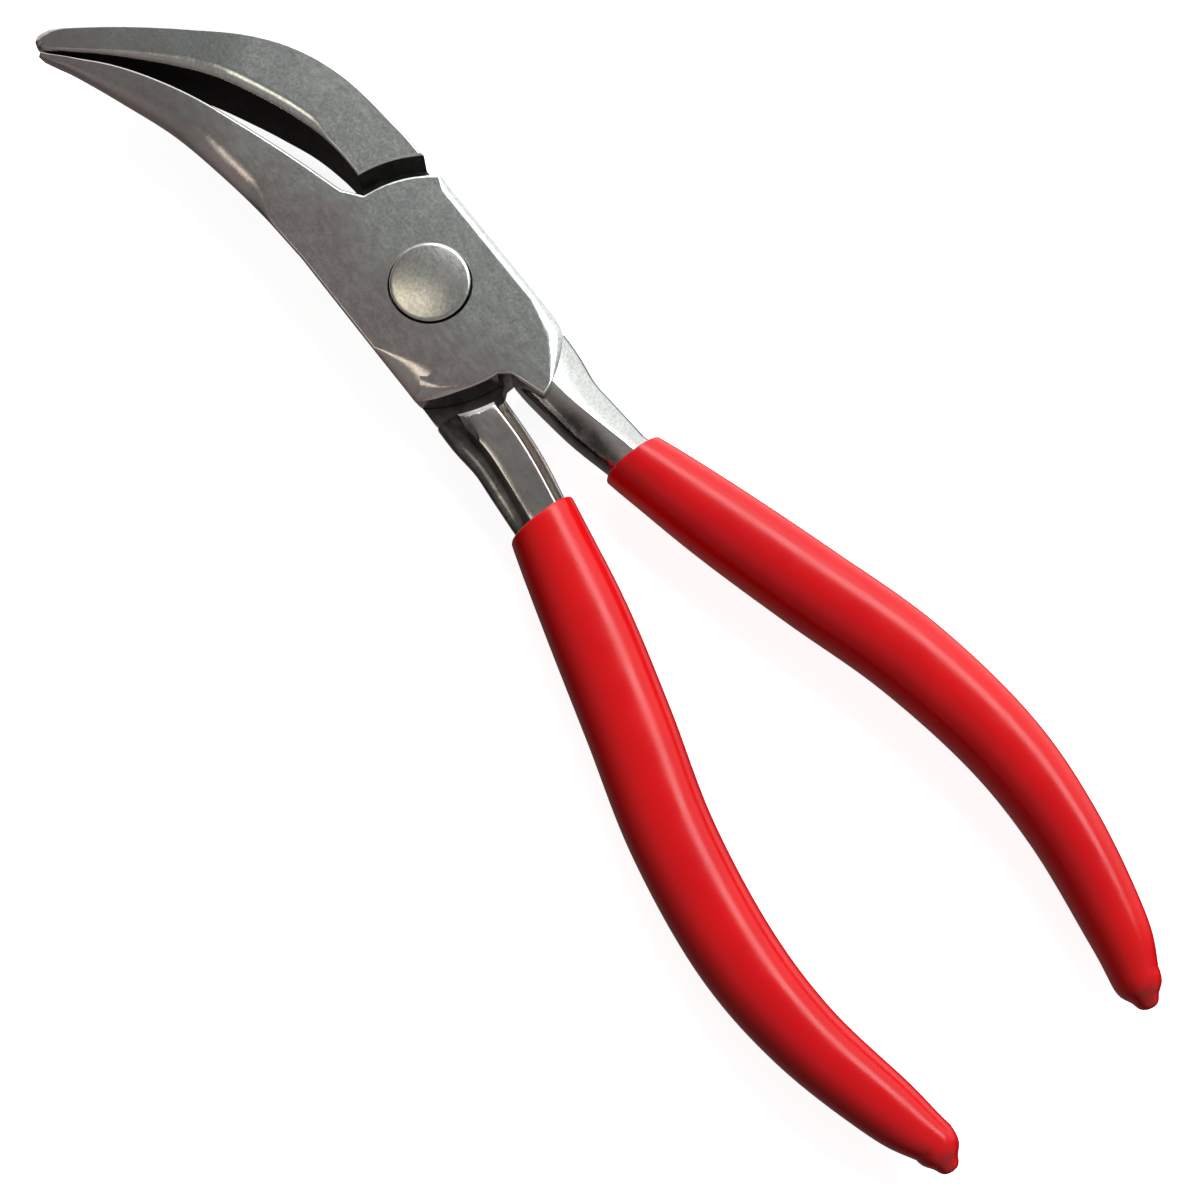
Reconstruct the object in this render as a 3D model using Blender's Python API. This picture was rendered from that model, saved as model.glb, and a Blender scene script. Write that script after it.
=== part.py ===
"""Bent long-nose pliers: two forged halves lapped on a rivet, with a dipped grip on each handle.

The rivet's axis is Z.  +Y runs from the handles to the jaws, and the jaws bend towards -X.
Z = 0 is the surface the pliers lie on, which the rivet's tail and both grips touch.
The front half holds the lower jaw and the right handle.  The rear half holds the upper jaw
and the left handle, and turns about the rivet.  The jaw tips are closed.
"""

import math

import bmesh
import bpy
from mathutils import Vector

MM = 0.001  # every dimension below is in millimetres

# The lap joint
JOINT_THICKNESS = 11.0  # both plates together
REST_LIFT = 0.3  # the rear plate's height above the resting surface
GAP = 0.3  # clearance between neighbouring pieces
PLATE_HALF_WIDTH = 10.8
PLATE_RADIUS = 16.2  # rounded end of each half's plate
SHOULDER_RADIUS = 19.2  # hollow shoulder that the other half's plate turns inside
RIM = 1.0  # chamfer round the forgings
EDGE = 0.35  # chamfer along the jaws' gripping edges
LOW = REST_LIFT
HIGH = LOW + JOINT_THICKNESS
MID = (LOW + HIGH) / 2
CORNER = math.degrees(math.acos(PLATE_HALF_WIDTH / PLATE_RADIUS))  # where the side meets the end

# The jaws narrow in depth towards their tips
TIP_DIRECTION = Vector((-0.64, 0.77, 0.0)).normalized()
TAPER_START = 36.0  # measured from the rivet along the tip direction
TIP_REACH = 63.5
TIP_DEPTH = 4.2

# The rivet
HEAD_RADIUS = 5.5
HEAD_RECESS_RADIUS = 6.0
HEAD_RECESS_DEPTH = 2.0
DOME_RISE = 0.8  # the dome's crown above the front plate
DOME_EDGE = 0.1  # the dome's rim above the front plate
SHANK_RADIUS = 3.7
TAIL_RADIUS = 5.0
TAIL_RECESS_RADIUS = 5.4
TAIL_THICKNESS = 1.4
TAIL_CHAMFER = 0.3

# A handle's bare steel, on the +X side: centre x, centre y, width, thickness
TANG = [
    (5.9, -16.5, 9.4, 9.8),
    (5.95, -20.0, 9.0, 10.2),
    (6.0, -24.5, 8.0, 10.0),
    (6.5, -29.0, 7.7, 9.4),
]
# A dipped handle, on the +X side: centre x, centre y, width, thickness, wall of the dip
GRIP = [
    (7.5, -35.3, 8.8, 10.4, 0.7),
    (11.4, -50.0, 10.8, 11.4, 1.3),
    (15.7, -65.0, 11.5, 11.6, 1.5),
    (20.2, -80.5, 11.6, 11.6, 1.5),
    (22.7, -97.0, 11.3, 11.6, 1.5),
    (22.1, -111.0, 10.1, 11.2, 1.5),
    (19.0, -125.0, 8.5, 9.6, 1.5),
    (16.9, -131.5, 6.8, 8.0, 1.5),
]
RIGHT_MOUTH = -37.0  # each grip's mouth, along Y
LEFT_MOUTH = -35.7
# Each grip's drip nib: centre x and y of its tip, on its own side
RIGHT_NIB = (15.4, -136.0)
LEFT_NIB = (18.4, -136.1)
NIB_WIDTH = 2.3
SQUARENESS = 3.0  # 2 is an ellipse; more is a rounder-cornered box
RING_SIDES = 20
TURNED_SIDES = 56
ARC_STEPS = 9
CURVE_STEPS = 3
SHARP_ANGLE = math.radians(32)


def smooth(points, steps=CURVE_STEPS):
    """A Catmull-Rom curve through points of any number of coordinates."""
    before = tuple(2 * a - b for a, b in zip(points[0], points[1]))
    after = tuple(2 * a - b for a, b in zip(points[-1], points[-2]))
    line = [before, *points, after]
    curve = []
    for i in range(1, len(line) - 2):
        for step in range(steps):
            t = step / steps
            curve.append(
                tuple(
                    b + t * (c - a) / 2
                    + t * t * (2 * a - 5 * b + 4 * c - d) / 2
                    + t ** 3 * (3 * b - a - 3 * c + d) / 2
                    for a, b, c, d in zip(*line[i - 1:i + 3])
                )
            )
    curve.append(tuple(points[-1]))
    return curve


def arc(start, end, chamfer=RIM, radius=PLATE_RADIUS):
    """Outline points on a circle about the rivet, between two angles in degrees."""
    turn = [start + (end - start) * i / ARC_STEPS for i in range(ARC_STEPS + 1)]
    angles = [math.radians(a) for a in turn]
    return [(radius * math.cos(a), radius * math.sin(a), chamfer) for a in angles]


def with_chamfer(points, chamfer):
    """Outline points that share one chamfer."""
    return [(x, y, chamfer) for x, y in points]


def lower_jaw_outline():
    """The lower jaw from its tip down its outer side, then up its gripping side."""
    outer = smooth([(-22.8, 64.0), (-20.6, 59.6), (-17.4, 51.5), (-14.3, 43.0),
                    (-12.5, 34.0), (-11.4, 24.5), (-PLATE_HALF_WIDTH, 14.0)])
    outer = [(x, y, min(RIM, 0.15 + 0.09 * (64.0 - y))) for x, y in outer]
    inner = smooth([(-1.5, 18.8), (-4.2, 27.2), (-7.5, 36.6), (-11.2, 46.4),
                    (-15.9, 55.2), (-21.8, 63.1)])
    return outer, with_chamfer(inner, EDGE) + [(-22.4, 64.1, 0.15)]


def upper_jaw_outline():
    """The upper jaw from its tip down its gripping side, then up its outer side."""
    inner = smooth([(-21.4, 63.5), (-14.2, 56.0), (-7.0, 46.8), (-2.8, 38.8),
                    (0.2, 31.0), (1.4, 24.5), (1.6, 18.8)])
    outer = smooth([(PLATE_HALF_WIDTH, 14.0), (10.6, 22.0), (9.1, 33.0),
                    (4.9, 42.4), (-3.6, 52.0), (-11.2, 59.4), (-19.0, 65.4)])
    outer = [(x, y, min(RIM, 0.5 + 0.05 * (65.4 - y))) for x, y in outer]
    end = with_chamfer([(-20.4, 66.0), (-21.6, 65.6), (-22.0, 64.4)], EDGE)
    return with_chamfer(inner, EDGE), outer + end


def mirrored(points):
    """The same outline points on the other side of the tool's axis, in the other order."""
    return [(-x, y, chamfer) for x, y, chamfer in reversed(points)]


def plate_foot():
    """The +X plate from the rounded end's left end, round the handle's root, to its right side."""
    rounded = arc(CORNER - 180, -92)
    root = with_chamfer([(0.9, -17.4), (2.6, -22.6), (5.4, -21.4), (9.9, -17.2),
                         (PLATE_HALF_WIDTH, -14.5)], RIM)
    return rounded + root


def front_outline():
    outer, inner = lower_jaw_outline()
    rounded = arc(CORNER, 88)
    return outer + plate_foot() + rounded + inner


def rear_outline():
    inner, outer = upper_jaw_outline()
    rounded = mirrored(arc(CORNER, 88))
    return inner + rounded + mirrored(plate_foot()) + outer


def add_faces(bm, low_ring, high_ring):
    """A band of faces between two rings that run counter-clockwise seen from the high side."""
    for i, corner in enumerate(low_ring):
        j = (i + 1) % len(low_ring)
        bm.faces.new((corner, low_ring[j], high_ring[j], high_ring[i]))


def forging_blank(outline):
    """A slab of the joint's thickness with chamfered rims and the jaw's depth taper."""
    bm = bmesh.new()
    rings = [[], [], [], []]
    for i, (x, y, chamfer) in enumerate(outline):
        following = outline[(i + 1) % len(outline)]
        run = Vector((following[0] - outline[i - 1][0], following[1] - outline[i - 1][1]))
        inward = Vector((-run.y, run.x)).normalized() * chamfer
        inset = (x + inward.x, y + inward.y)
        places = (
            (*inset, LOW),
            (x, y, LOW + chamfer),
            (x, y, HIGH - chamfer),
            (*inset, HIGH),
        )
        for ring, place in zip(rings, places):
            ring.append(bm.verts.new(place))
    for low_ring, high_ring in zip(rings, rings[1:]):
        add_faces(bm, low_ring, high_ring)
    bm.faces.new(list(reversed(rings[0])))
    bm.faces.new(rings[-1])
    bmesh.ops.bisect_plane(
        bm,
        geom=bm.verts[:] + bm.edges[:] + bm.faces[:],
        plane_co=TIP_DIRECTION * TAPER_START,
        plane_no=TIP_DIRECTION,
    )
    for vert in bm.verts:
        along = Vector((vert.co.x, vert.co.y, 0.0)).dot(TIP_DIRECTION)
        share = min(max((along - TAPER_START) / (TIP_REACH - TAPER_START), 0.0), 1.05)
        depth = JOINT_THICKNESS + share * (TIP_DEPTH - JOINT_THICKNESS)
        vert.co.z = MID + (vert.co.z - MID) * depth / JOINT_THICKNESS
    return bm


def section_rings(bm, stations, side, shrink=None):
    """Rings of a rounded box section across a handle's path, one for each station."""
    rings = []
    for i, (x, y, width, thickness) in enumerate(stations):
        last = stations[max(i - 1, 0)]
        following = stations[min(i + 1, len(stations) - 1)]
        run = Vector((side * (following[0] - last[0]), following[1] - last[1], 0.0)).normalized()
        across = Vector((-run.y, run.x, 0.0))
        less = shrink[i] if shrink else 0.0
        ring = []
        for k in range(RING_SIDES):
            angle = math.tau * (k + 0.5) / RING_SIDES
            c, s = math.cos(angle), math.sin(angle)
            wide = math.copysign(abs(c) ** (2 / SQUARENESS), c) * (width / 2 - less)
            high = math.copysign(abs(s) ** (2 / SQUARENESS), s) * (thickness / 2 - less)
            ring.append(bm.verts.new(Vector((side * x, y, MID + high)) + across * wide))
        rings.append(ring)
    return rings


def from_mouth(stations, mouth):
    """The stations from a grip's mouth on, the first of them made at the mouth itself."""
    first = next(i for i, station in enumerate(stations) if station[1] < mouth)
    above, below = stations[first - 1], stations[first]
    share = (above[1] - mouth) / (above[1] - below[1])
    made = tuple(a + share * (b - a) for a, b in zip(above, below))
    return [made, *stations[first:]]


def grip_end(nib):
    """The stations that close a grip: a blunt round end, then the drip nib."""
    x, y, width, thickness, _ = GRIP[-1]
    lean = (nib[0] - x) / (nib[1] - y)
    shares = ((2.0, 0.80), (2.9, 0.45), (3.2, NIB_WIDTH / width))
    end = [(x - lean * far, y - far, width * s, thickness * s) for far, s in shares]
    tip = NIB_WIDTH * 0.55
    return end + [(nib[0], nib[1], tip, tip)]


def tang_blank(side):
    """The handle's steel, from its root in the plate to inside the grip's end."""
    grip = smooth(GRIP)
    steel = [
        (x, y, width - 2 * (wall + GAP), thickness - 2 * (wall + GAP))
        for x, y, width, thickness, wall in grip
    ]
    stations = smooth(TANG + steel[:1])[:-1] + steel[:-1]
    bm = bmesh.new()
    rings = section_rings(bm, stations, side)
    for ring, following in zip(rings, rings[1:]):
        add_faces(bm, following, ring)
    bm.faces.new(rings[0])
    bm.faces.new(list(reversed(rings[-1])))
    return bm


def grip_sleeve(side, mouth, nib):
    """A dipped sleeve: open at its mouth, closed at its end with a drip nib."""
    grip = from_mouth(smooth(GRIP), mouth)
    bm = bmesh.new()
    outline = [station[:4] for station in grip]
    walls = [station[4] for station in grip]
    outside = section_rings(bm, outline + grip_end(nib), side)
    inside = section_rings(bm, outline, side, walls)
    for ring, following in zip(outside, outside[1:]):
        add_faces(bm, following, ring)
    for ring, following in zip(inside, inside[1:]):
        add_faces(bm, ring, following)
    add_faces(bm, outside[0], inside[0])
    bm.faces.new(list(reversed(outside[-1])))
    bm.faces.new(inside[-1])
    return bm


def turned(profile):
    """A solid turned about Z, from radius and height points that start and end on the axis."""
    bm = bmesh.new()
    rings = []
    for radius, height in profile:
        if radius == 0.0:
            rings.append([bm.verts.new((0.0, 0.0, height))])
            continue
        angles = [math.tau * k / TURNED_SIDES for k in range(TURNED_SIDES)]
        rings.append(
            [bm.verts.new((radius * math.cos(a), radius * math.sin(a), height)) for a in angles]
        )
    for ring, following in zip(rings, rings[1:]):
        for k in range(TURNED_SIDES):
            n = (k + 1) % TURNED_SIDES
            if len(ring) == 1:
                bm.faces.new((ring[0], following[n], following[k]))
            elif len(following) == 1:
                bm.faces.new((ring[k], ring[n], following[0]))
            else:
                bm.faces.new((ring[k], ring[n], following[n], following[k]))
    return bm


def disc(radius, low, high):
    """A plain cylinder about the rivet's axis."""
    return turned([(0.0, low), (radius, low), (radius, high), (0.0, high)])


def rivet():
    """The turned rivet: a flat tail, a shank and a low domed head."""
    seat = HIGH - HEAD_RECESS_DEPTH + GAP
    rim = HIGH + DOME_EDGE
    rise = DOME_RISE - DOME_EDGE
    sphere = (HEAD_RADIUS ** 2 + rise ** 2) / (2 * rise)
    steps = 6
    dome = []
    for i in range(steps + 1):
        radius = HEAD_RADIUS * (1 - i / steps)
        drop = sphere - math.sqrt(sphere ** 2 - radius ** 2)
        dome.append((radius, rim + rise - drop))
    profile = [
        (0.0, 0.0),
        (TAIL_RADIUS - TAIL_CHAMFER, 0.0),
        (TAIL_RADIUS, TAIL_CHAMFER),
        (TAIL_RADIUS, TAIL_THICKNESS),
        (SHANK_RADIUS, TAIL_THICKNESS),
        (SHANK_RADIUS, seat),
        (HEAD_RADIUS, seat),
    ]
    return turned(profile + dome)


def material(name, colour, metallic, roughness):
    made = bpy.data.materials.new(name)
    made.use_nodes = True
    shader = made.node_tree.nodes["Principled BSDF"]
    shader.inputs["Base Color"].default_value = (*colour, 1.0)
    shader.inputs["Metallic"].default_value = metallic
    shader.inputs["Roughness"].default_value = roughness
    made.diffuse_color = (*colour, 1.0)
    return made


def place(name, bm, parent=None, finish=None):
    """Turns millimetre geometry into a named object whose origin is on the rivet's axis."""
    bmesh.ops.scale(bm, vec=(MM, MM, MM), verts=bm.verts)
    bmesh.ops.recalc_face_normals(bm, faces=bm.faces)
    mesh = bpy.data.meshes.new(name)
    bm.to_mesh(mesh)
    bm.free()
    mesh.shade_smooth()
    mesh.set_sharp_from_angle(angle=SHARP_ANGLE)
    made = bpy.data.objects.new(name, mesh)
    bpy.context.scene.collection.objects.link(made)
    made.parent = parent
    if finish:
        mesh.materials.append(finish)
    return made


def tool(name, bm, parent):
    """A helper solid for Booleans, which isn't a piece of the pliers."""
    made = place(name, bm, parent)
    made.hide_render = True
    made.display_type = "WIRE"
    return made


def combine(target, operation, helper):
    step = target.modifiers.new(helper.name, "BOOLEAN")
    step.operation = operation
    step.solver = "EXACT"
    step.object = helper


def half(name, outline, side, lap, recess, parent, finish):
    """One forged half: blank, handle, lapped joint, rivet hole and the rivet's recess."""
    made = place(name, forging_blank(outline), parent, finish)
    combine(made, "UNION", tool(name + "_tang", tang_blank(side), parent))
    combine(made, "DIFFERENCE", tool(name + "_lap", disc(SHOULDER_RADIUS, *lap), parent))
    hole = disc(SHANK_RADIUS + GAP, LOW - 1.0, HIGH + 1.0)
    combine(made, "DIFFERENCE", tool(name + "_hole", hole, parent))
    combine(made, "DIFFERENCE", tool(name + "_recess", disc(*recess), parent))
    return made


def empty(name):
    made = bpy.data.objects.new(name, None)
    bpy.context.scene.collection.objects.link(made)
    return made


def main():
    for old in list(bpy.data.objects):
        bpy.data.objects.remove(old, do_unlink=True)

    front = empty("front_frame")
    rear = empty("rear_swing")

    half(
        "front_half",
        front_outline(),
        side=1,
        lap=(LOW - 1.0, MID + GAP / 2),
        recess=(HEAD_RECESS_RADIUS, HIGH - HEAD_RECESS_DEPTH, HIGH + 1.0),
        parent=front,
        finish=material("front_steel", (0.23, 0.225, 0.215), 1.0, 0.38),
    )
    half(
        "rear_half",
        rear_outline(),
        side=-1,
        lap=(MID - GAP / 2, HIGH + 1.0),
        recess=(TAIL_RECESS_RADIUS, LOW - 1.0, TAIL_THICKNESS + GAP),
        parent=rear,
        finish=material("rear_steel", (0.22, 0.215, 0.21), 1.0, 0.40),
    )
    place("pivot_rivet", rivet(), front, material("rivet_steel", (0.27, 0.26, 0.24), 1.0, 0.42))
    red = (0.72, 0.012, 0.016)
    right = grip_sleeve(1, RIGHT_MOUTH, RIGHT_NIB)
    place("right_grip", right, front, material("right_grip_vinyl", red, 0.0, 0.25))
    left = grip_sleeve(-1, LEFT_MOUTH, LEFT_NIB)
    place("left_grip", left, rear, material("left_grip_vinyl", red, 0.0, 0.25))


main()
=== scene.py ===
"""The looks of the bent long-nose pliers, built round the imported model.

Each CAD node is replaced by a finer piece of the same size in the same place: two forged
halves with ground faces and rolled rims, a turned rivet and two dipped vinyl grips.
Lengths are in millimetres until a piece is placed.  The rivet's axis is Z, +Y runs to the
jaws, and the tool lies on Z = 0.
"""

import math

import bmesh
import bpy
from mathutils import Matrix, Vector

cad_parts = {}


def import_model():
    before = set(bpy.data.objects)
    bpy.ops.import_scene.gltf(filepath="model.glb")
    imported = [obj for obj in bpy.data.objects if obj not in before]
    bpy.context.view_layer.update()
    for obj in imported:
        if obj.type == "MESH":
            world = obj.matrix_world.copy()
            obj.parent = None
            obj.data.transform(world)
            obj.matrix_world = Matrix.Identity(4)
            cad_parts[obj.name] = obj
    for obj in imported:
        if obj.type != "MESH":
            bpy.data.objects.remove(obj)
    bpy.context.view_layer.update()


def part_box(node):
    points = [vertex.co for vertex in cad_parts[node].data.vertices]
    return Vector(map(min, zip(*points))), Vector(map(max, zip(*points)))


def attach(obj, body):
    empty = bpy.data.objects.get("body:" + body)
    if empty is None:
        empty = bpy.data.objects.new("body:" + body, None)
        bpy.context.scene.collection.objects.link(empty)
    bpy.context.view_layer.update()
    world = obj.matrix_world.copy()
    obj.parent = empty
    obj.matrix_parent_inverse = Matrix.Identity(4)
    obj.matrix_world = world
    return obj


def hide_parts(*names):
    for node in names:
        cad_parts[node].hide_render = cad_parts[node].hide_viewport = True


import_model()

MM = 0.001


def box_mm(node):
    """The lowest and highest corners of a CAD node, in millimetres."""
    low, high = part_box(node)
    return low / MM, high / MM


FRONT_LOW, FRONT_HIGH = box_mm("front_half")
_, REAR_HIGH = box_mm("rear_half")
_, RIVET_HIGH = box_mm("pivot_rivet")

# The lap joint
LOW = FRONT_LOW.z
HIGH = FRONT_HIGH.z
MID = (LOW + HIGH) / 2
GAP = 0.3  # clearance between neighbouring pieces
PLATE_HALF_WIDTH = REAR_HIGH.x
PLATE_RADIUS = 16.2  # rounded end of each half's plate
SHOULDER_RADIUS = 19.2  # hollow shoulder that the other half's plate turns inside
HIDDEN_SHOULDER_RADIUS = 17.3  # the same at the back, where it leaves the silhouette whole
CORNER = math.degrees(math.acos(PLATE_HALF_WIDTH / PLATE_RADIUS))
ROUND_END = 88.0  # degrees from the plate's side where its rounded end meets jaw or handle
SIDE_ENDS = (-10.5, 10.0)  # y of the ends of a plate's straight side
SIDE_STEPS = 8
BREAK = 0.3  # broken edge of every machined cut
OVERRUN = 1.0  # how far a cutter runs past what it cuts

# The jaws narrow in depth towards their tips
TIP_DIRECTION = Vector((-0.64, 0.77, 0.0)).normalized()
TAPER_START = 36.0
SOFT_START = 3.0
TIP_REACH = 63.5
TIP_DEPTH = 3.0
TAPER_OVERRUN = 1.05  # the taper goes on past the tip's reach by this factor
TAPER_CUTS = 12

# The walls' draft, and the jaws' gripping faces
TO_UPPER_JAW = Vector((0.75, 0.66, 0.0))
FACING = 0.3  # a wall faces a direction from this product of its normal with it
GRIPPING_END = 63.0  # the painted shade of the gripping wall stops at this y; the jaw's tip beyond is polished
GRIPPING_DRAFT = [(22.0, 0.0), (34.0, 0.8), (52.0, 1.0), (60.0, 0.2)]  # by y, upper jaw
LEFT_FACING = 0.2
LEFT_DRAFT = (1.15, -0.6)  # how far the left walls lean out, at the front and at the back
DRAFTED = [(-17.5, 0.0), (-13.5, 1.0)]  # share of that draft, by y
DRAFTED_ACROSS = [(6.0, 0.0), (10.0, 1.0)]  # and by the distance to the left of the rivet

# The rivet
HEAD_RADIUS = RIVET_HIGH.x + 0.1
HEAD_EDGE = 0.1  # height of the head's edge above the plate
HEAD_RIM = 0.2  # radius of its rolled rim
HEAD_RIM_TURN = 76.0  # degrees of that rim, from the wall to the crown
HEAD_RIM_STEPS = 5
HEAD_RECESS_RADIUS = 5.85
HEAD_RECESS_DEPTH = 2.0
HEAD_BREAK = 0.12
CROWN_PLACE = Vector((3.2, 1.2))  # the hammered crown isn't quite central
CROWN_FALL = 0.012  # it falls by this for each square millimetre of distance from there
CROWN_STEPS = 18
SHANK_RADIUS = 3.7
TAIL_RADIUS = 5.0
TAIL_THICKNESS = 1.4
TAIL_EDGE = [(0.3, 0.0), (0.1, 0.08), (0.0, 0.3)]  # how far in and how high, round its edge
TAIL_RECESS_RADIUS = 5.4

# A handle's bare steel, on its own side: centre x, centre y, width, thickness
RIGHT_TANG = [
    (6.1, -16.5, 9.8, 11.0),
    (6.1, -20.0, 9.5, 11.0),
    (6.05, -24.5, 8.4, 10.4),
    (6.5, -29.0, 8.0, 9.6),
]
LEFT_TANG = [
    (6.2, -16.5, 10.0, 9.8),
    (6.35, -20.0, 9.8, 10.2),
    (6.35, -24.5, 9.2, 10.2),
    (6.8, -29.0, 9.0, 9.8),
]
# A dipped handle, on its own side: centre x, centre y, width, thickness, wall of the dip
RIGHT_GRIP = [
    (7.4, -35.3, 9.0, 10.4, 0.7),
    (11.4, -50.0, 10.9, 11.4, 1.3),
    (15.7, -65.0, 11.6, 11.6, 1.5),
    (20.1, -80.5, 11.5, 11.6, 1.5),
    (22.4, -97.0, 10.8, 11.6, 1.5),
    (21.7, -111.0, 9.6, 11.2, 1.5),
    (18.8, -125.0, 8.2, 9.6, 1.5),
    (16.5, -131.5, 6.3, 8.0, 1.5),
]
LEFT_GRIP = [
    (7.65, -35.3, 10.3, 10.8, 0.7),
    (11.3, -50.0, 11.9, 11.6, 1.3),
    (15.6, -65.0, 12.1, 11.8, 1.5),
    (20.3, -80.5, 11.8, 11.6, 1.5),
    (23.0, -97.0, 11.3, 11.6, 1.5),
    (22.7, -111.0, 10.1, 11.2, 1.5),
    (19.8, -125.0, 8.6, 9.6, 1.5),
    (17.9, -131.5, 6.3, 8.0, 1.5),
]
RIGHT_MOUTH = -36.0
LEFT_MOUTH = -35.3
RIGHT_NIB = (15.3, -136.1)
LEFT_NIB = (18.3, -136.0)
# The closing end: share of the way to the nib's tip, share of the last section's size
GRIP_END = [
    (0.15, 0.985), (0.3, 0.945), (0.42, 0.88), (0.52, 0.785), (0.6, 0.68), (0.68, 0.585),
    (0.76, 0.52), (0.84, 0.465), (0.91, 0.39), (0.96, 0.29), (0.99, 0.15),
]
# By the distance below the rivet: share of the way from a bare handle's root section to
# the one at the grip's mouth, and how far its hollows are filled out
MOUTH_SHARE = [(18.0, 0.0), (35.0, 1.0)]
FILLED = [(17.5, 0.5), (21.0, 0.0), (31.0, 0.0), (37.0, 0.2), (44.0, 1.0)]
# The mouth's lip: how far down, and how much smaller the sleeve is there
LIP = [(0.0, 0.26), (0.1, 0.1), (0.25, 0.02), (0.5, 0.0)]
LEVELLING = [(0.0, 1.0), (6.0, 0.0)]  # distance below the mouth, share of a level cut
# The hollow at the root of each handle's lap face, on the handle's own side
SCOOP_SIZE = (5.5, 8.0, 7.0)
SCOOP_DEPTH = 1.0
SCOOP_PLACE = (10.6, -20.8)
SCOOP_TURN = math.radians(-22)
STEP_BEVEL = 0.28  # width of the broken edge where the lap face meets the shoulder
STEP_BEVEL_ANGLE = math.radians(22)
# The cutter that trims a plate's foot: its inner radius and its two ends, in degrees
FOOT_TRIM_RADIUS = PLATE_RADIUS + 0.6
FOOT_TRIM_ENDS = (-150.0, -30.0)
FOOT_TRIM_STEPS = 40
SQUARENESS = 3.0  # of the steel's section: 2 is an ellipse, more is a rounder-cornered box
SLEEVE_SQUARENESS = 2.35

# How fine the pieces are
ARC_STEP = 3.0  # degrees
CURVE_STEPS = 7
HANDLE_STEPS = 6
SECTION_STEPS = 3
SLEEVE_STEPS = 12
RIM_STEPS = 10
TURNED_SIDES = 144
SLEEVE_SIDES = 72
SHARP_ANGLE = math.radians(24)
SLIVER = 0.0005  # faces narrower than this are dissolved
RIM_SLOPE = 0.7  # how fast a rim's width may change along an outline
RIM_CUT = 0.8  # a rim that crosses another is made narrower by this, again and again
ROUND_RIM = 0.5  # a rim up to this wide is a quarter circle
SQUARE_RIM = 2.5  # a rim from this wide has its full squareness at the wall
FRONT_RIM = (0.18, 0.75)  # depth added for each millimetre of width, squareness at the wall
BACK_RIM = (1.15, 0.35)
DEEPEST_RIM = 0.45  # most of the joint's thickness that one rim may take
ROOM = 0.6  # most of the width inside an outline that one rim may take

# The material slots of a forged half: polished steel, painted shade on the machined cuts, and
# painted shade on the jaws' gripping walls
POLISHED = 0
SHADED_CUT = 1
PAINTED_SHADE_WALL = 2

# The forged section of a bare handle, for a half width and a half thickness of 1.
# On the plate's side two slopes meet in a ridge; the inner one steepens towards the grip.
OWN_ROOT = [
    (-1.0, 0.0), (-0.99, 0.28), (-0.95, 0.5), (-0.86, 0.66), (-0.72, 0.8), (-0.56, 0.91),
    (-0.44, 0.965), (-0.36, 0.975), (-0.1, 0.93), (0.2, 0.85), (0.5, 0.74), (0.76, 0.58),
    (0.93, 0.34), (1.0, 0.0),
]
OWN_MOUTH = [
    (-1.0, 0.0), (-0.98, 0.2), (-0.92, 0.38), (-0.78, 0.55), (-0.5, 0.74), (-0.2, 0.89),
    (0.02, 0.98), (0.1, 0.99), (0.28, 0.93), (0.48, 0.84), (0.66, 0.73), (0.83, 0.55),
    (0.95, 0.3), (1.0, 0.0),
]
# The face on the lap's side is a flat boss that falls to a ridge along each edge.
LAP_FACE = [
    (1.0, 0.0), (1.0, -0.18), (0.96, -0.27), (0.84, -0.33), (0.68, -0.36), (0.55, -0.44),
    (0.48, -0.6), (0.44, -0.82), (0.41, -0.95), (0.35, -1.0), (-0.1, -1.0), (-0.53, -1.0),
    (-0.61, -0.975), (-0.655, -0.9), (-0.69, -0.66), (-0.73, -0.4), (-0.8, -0.36),
    (-0.88, -0.5), (-0.94, -0.52), (-0.985, -0.42), (-1.0, -0.2),
]


def along(value, stops):
    """Reads a value off straight lines between (place, amount) stops, which rise in place."""
    if value <= stops[0][0]:
        return stops[0][1]
    for (left, low), (right, high) in zip(stops, stops[1:]):
        if value <= right:
            return low + (high - low) * (value - left) / (right - left)
    return stops[-1][1]


def smooth(points, steps=CURVE_STEPS):
    """A Catmull-Rom curve through points of any number of coordinates."""
    before = tuple(2 * a - b for a, b in zip(points[0], points[1]))
    after = tuple(2 * a - b for a, b in zip(points[-1], points[-2]))
    line = [before, *points, after]
    curve = []
    for i in range(1, len(line) - 2):
        for step in range(steps):
            t = step / steps
            curve.append(
                tuple(
                    b + t * (c - a) / 2
                    + t * t * (2 * a - 5 * b + 4 * c - d) / 2
                    + t ** 3 * (3 * b - a - 3 * c + d) / 2
                    for a, b, c, d in zip(*line[i - 1:i + 3])
                )
            )
    curve.append(tuple(points[-1]))
    return curve


def arc(start, end, own, lap, radius=PLATE_RADIUS):
    """Outline points on a circle about the rivet, between two angles in degrees."""
    steps = max(1, round(abs(end - start) / ARC_STEP))
    angles = [math.radians(start + (end - start) * i / steps) for i in range(steps + 1)]
    return [(radius * math.cos(a), radius * math.sin(a), own, lap) for a in angles]


# An outline point is x, y, and the width of the rim on the plate's own face and on the
# lap's face.  Outlines run counter-clockwise, seen from the front.

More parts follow.
